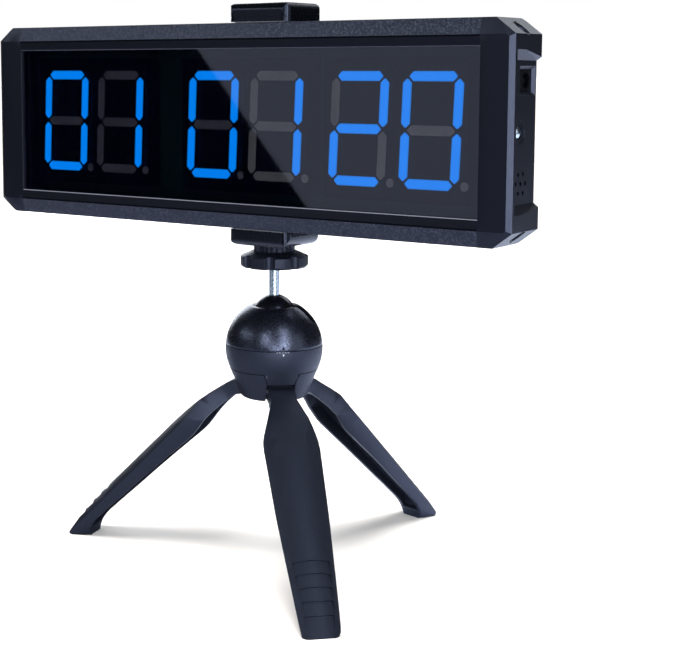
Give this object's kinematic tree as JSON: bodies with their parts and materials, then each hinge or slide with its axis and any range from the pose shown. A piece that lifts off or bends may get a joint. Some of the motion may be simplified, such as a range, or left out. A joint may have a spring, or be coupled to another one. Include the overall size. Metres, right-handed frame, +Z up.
{
  "type": "digital stopwatch",
  "caption": "LED digit timer display in a long aluminium housing, held by a sprung clamp on a folding mini tripod with a ball head.",
  "frame": {"origin": "on the floor, under the middle of the whole timer; the tripod's axis is at x 16.5 mm, y -11.5 mm", "axes": "+Z up, the display's window faces -Y, +X runs along the display towards the end with the power jack"},
  "size_m": [0.264, 0.1658, 0.2359],
  "materials": {
    "tripod_plastic": "fine moulded texture",
    "head_shell": "satin moulded",
    "nylon": "moulded",
    "steel": "zinc plated",
    "gloss_black": "glossy",
    "chrome": "polished",
    "knob_plastic": "satin moulded",
    "brass": "machined",
    "clamp_plastic": "satin moulded",
    "pad_silicone": "smooth silicone",
    "pad_foam": "fine foam",
    "housing_aluminium": "dark powder coat with a fine grain",
    "window_acrylic": "polished",
    "cap_plastic": "satin moulded",
    "digit_module": "matt black face with blue bars",
    "circuit_board": "solder resist",
    "battery_wrap": "shrink wrap"
  },
  "bodies": {
    "tripod_base": {"hub": "tripod_plastic", "lower_shell": "tripod_plastic", "ball_seat": "nylon", "centre_screw": "steel", "leg_pins": "steel"},
    "front_leg": {"leg_front": "tripod_plastic"},
    "rear_leg": {"leg_rear": "tripod_plastic"},
    "left_leg": {"leg_left": "tripod_plastic"},
    "head_cap": {"ball_cap": "head_shell"},
    "tilt_head": {"tilt_ball": "gloss_black", "stem": "chrome"},
    "lock_knob": {"lock_knob": "knob_plastic", "knob_nut": "brass"},
    "clamp": {"clamp_body": "clamp_plastic", "clamp_insert": "brass", "clamp_cover": "clamp_plastic", "cover_screws": "steel", "lower_pad": "pad_silicone", "back_pad": "pad_foam", "clamp_springs": "steel", "knob_washer": "knob_plastic"},
    "jaw": {"upper_jaw": "clamp_plastic", "upper_pad": "pad_silicone"},
    "display": {"housing": "housing_aluminium", "window": "window_acrylic", "right_end_cap": "cap_plastic", "left_end_cap": "cap_plastic", "end_cap_screws": "steel", "digit_1": "digit_module", "digit_2": "digit_module", "digit_3": "digit_module", "digit_4": "digit_module", "digit_5": "digit_module", "digit_6": "digit_module", "led_board": "circuit_board", "control_board": "circuit_board", "board_header": "brass", "battery_pack": "battery_wrap", "buzzer": "gloss_black", "dc_jack": "gloss_black", "power_switch": "gloss_black"},
    "button": {"power_button": "chrome"}
  },
  "joints": [
    {"name": "front_fold", "type": "hinge", "parent": "tripod_base", "child": "front_leg", "pos_m": [0.02482, -0.01958, 0.0746], "axis": [0.6972, 0.7169, 0], "range_deg": [0, 45]},
    {"name": "rear_fold", "type": "hinge", "parent": "tripod_base", "child": "rear_leg", "pos_m": [0.01935, -0.00024, 0.0746], "axis": [-0.9694, 0.2453, 0], "range_deg": [0, 45]},
    {"name": "left_fold", "type": "hinge", "parent": "tripod_base", "child": "left_leg", "pos_m": [0.00534, -0.01465, 0.0746], "axis": [0.2723, -0.9622, 0], "range_deg": [0, 45]},
    {"name": "head_turn", "type": "hinge", "parent": "tripod_base", "child": "head_cap", "pos_m": [0.0165, -0.01149, 0.1], "axis": [0, 0, 1], "range_deg": [-45, 45]},
    {"name": "head_tilt", "type": "hinge", "parent": "head_cap", "child": "tilt_head", "pos_m": [0.0165, -0.01149, 0.1048], "axis": [-0.3714, 0.9285, 0], "range_deg": [-35, 60]},
    {"name": "knob_turn", "type": "hinge", "parent": "tilt_head", "child": "lock_knob", "pos_m": [0.0165, -0.01149, 0.129], "axis": [0, 0, 1], "continuous": true},
    {"name": "clamp_pan", "type": "hinge", "parent": "tilt_head", "child": "clamp", "pos_m": [0.0165, -0.01149, 0.138], "axis": [0, 0, 1], "continuous": true},
    {"name": "jaw_lift", "type": "slide", "parent": "clamp", "child": "jaw", "axis": [0, 0, 1], "range_m": [0, 0.008], "stiffness_N_per_m": 330, "springref_m": -0.03, "deforming": ["clamp_springs"]},
    {"name": "display_slide", "type": "slide", "parent": "clamp", "child": "display", "axis": [1, 0, 0], "range_m": [-0.015, 0.015]},
    {"name": "button_press", "type": "slide", "parent": "display", "child": "button", "axis": [-1, 0, 0], "range_m": [0, 0.0012], "stiffness_N_per_m": 800, "springref_m": -0.0006}
  ]
}
